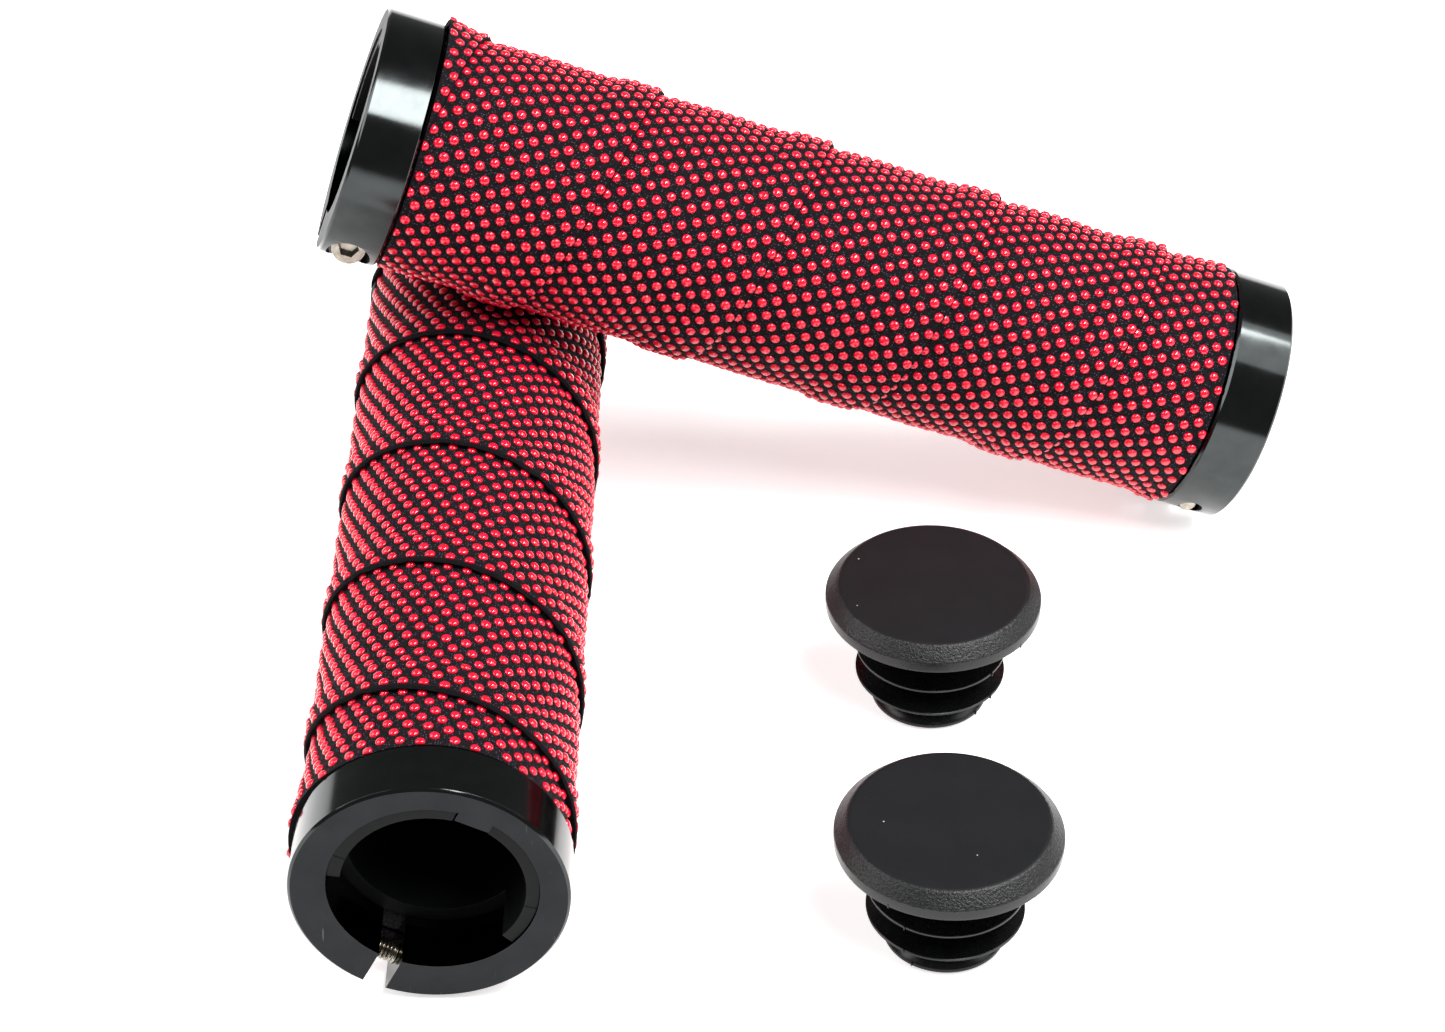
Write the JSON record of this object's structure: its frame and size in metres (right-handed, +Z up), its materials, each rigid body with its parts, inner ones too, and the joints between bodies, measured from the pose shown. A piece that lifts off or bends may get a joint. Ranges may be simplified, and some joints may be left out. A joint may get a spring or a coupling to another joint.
{
  "type": "handlebar grip and end plug set",
  "caption": "Tubular lock-on handlebar grips with wound dotted tape over a foam pad, split clamp rings at both ends, and push-in finned bar end plugs.",
  "frame": {"origin": "middle of the whole layout at the surface everything rests on", "axes": "+Y along the lying grip, from the end that faces the viewer to its far end; +X to the viewer's right, where the leaning grip comes down to the surface; +Z up"},
  "size_m": [0.1338, 0.131, 0.0744],
  "materials": {
    "sleeve_plastic": "matte",
    "pad_foam": "matte",
    "dotted_tape": "matte",
    "ring_aluminium": "satin",
    "screw_steel": "satin",
    "plug_plastic": "matte"
  },
  "bodies": {
    "lower_grip": {"lower_sleeve": "sleeve_plastic", "lower_foam_pad": "pad_foam", "lower_wrap_tape": "dotted_tape"},
    "upper_grip": {"upper_sleeve": "sleeve_plastic", "upper_foam_pad": "pad_foam", "upper_wrap_tape": "dotted_tape"},
    "lower_front_lock_ring": {"lower_front_lock_ring": "ring_aluminium"},
    "lower_front_clamp_screw": {"lower_front_clamp_screw": "screw_steel"},
    "lower_rear_lock_ring": {"lower_rear_lock_ring": "ring_aluminium"},
    "lower_rear_clamp_screw": {"lower_rear_clamp_screw": "screw_steel"},
    "upper_right_lock_ring": {"upper_right_lock_ring": "ring_aluminium"},
    "upper_right_clamp_screw": {"upper_right_clamp_screw": "screw_steel"},
    "upper_left_lock_ring": {"upper_left_lock_ring": "ring_aluminium"},
    "upper_left_clamp_screw": {"upper_left_clamp_screw": "screw_steel"},
    "far_end_plug": {"far_end_plug": "plug_plastic"},
    "near_end_plug": {"near_end_plug": "plug_plastic"}
  },
  "joints": [
    {"name": "upper_grip_lift", "type": "slide", "parent": "lower_grip", "child": "upper_grip", "axis": [0, 0, 1], "range_m": [0, 0.08]},
    {"name": "lower_front_lock_ring_slide", "type": "slide", "parent": "lower_grip", "child": "lower_front_lock_ring", "axis": [0, -1, 0], "range_m": [0, 0.02]},
    {"name": "lower_front_clamp_screw_turn", "type": "hinge", "parent": "lower_front_lock_ring", "child": "lower_front_clamp_screw", "pos_m": [-0.05167, -0.0605, 0.0049], "axis": [0.8988, 0, -0.4384], "continuous": true},
    {"name": "lower_rear_lock_ring_slide", "type": "slide", "parent": "lower_grip", "child": "lower_rear_lock_ring", "axis": [0, 1, 0], "range_m": [0, 0.02]},
    {"name": "lower_rear_clamp_screw_turn", "type": "hinge", "parent": "lower_rear_lock_ring", "child": "lower_rear_clamp_screw", "pos_m": [-0.05167, 0.0615, 0.0049], "axis": [-0.8988, 0, 0.4384], "continuous": true},
    {"name": "upper_right_lock_ring_slide", "type": "slide", "parent": "upper_grip", "child": "upper_right_lock_ring", "axis": [0.947, -0.0198, -0.3206], "range_m": [0, 0.02]},
    {"name": "upper_right_clamp_screw_turn", "type": "hinge", "parent": "upper_right_lock_ring", "child": "upper_right_clamp_screw", "pos_m": [0.05329, 0.03554, 0.00493], "axis": [-0.0572, 0.9717, -0.2292], "continuous": true},
    {"name": "upper_left_lock_ring_slide", "type": "slide", "parent": "upper_grip", "child": "upper_left_lock_ring", "axis": [-0.947, 0.0198, 0.3206], "range_m": [0, 0.02]},
    {"name": "upper_left_clamp_screw_turn", "type": "hinge", "parent": "upper_left_lock_ring", "child": "upper_left_clamp_screw", "pos_m": [-0.06224, 0.03796, 0.04404], "axis": [0.0572, -0.9717, 0.2292], "continuous": true},
    {"name": "far_end_plug_lift", "type": "slide", "parent": "lower_grip", "child": "far_end_plug", "axis": [0, 0, 1], "range_m": [0, 0.06]},
    {"name": "near_end_plug_lift", "type": "slide", "parent": "lower_grip", "child": "near_end_plug", "axis": [0, 0, 1], "range_m": [0, 0.06]}
  ]
}
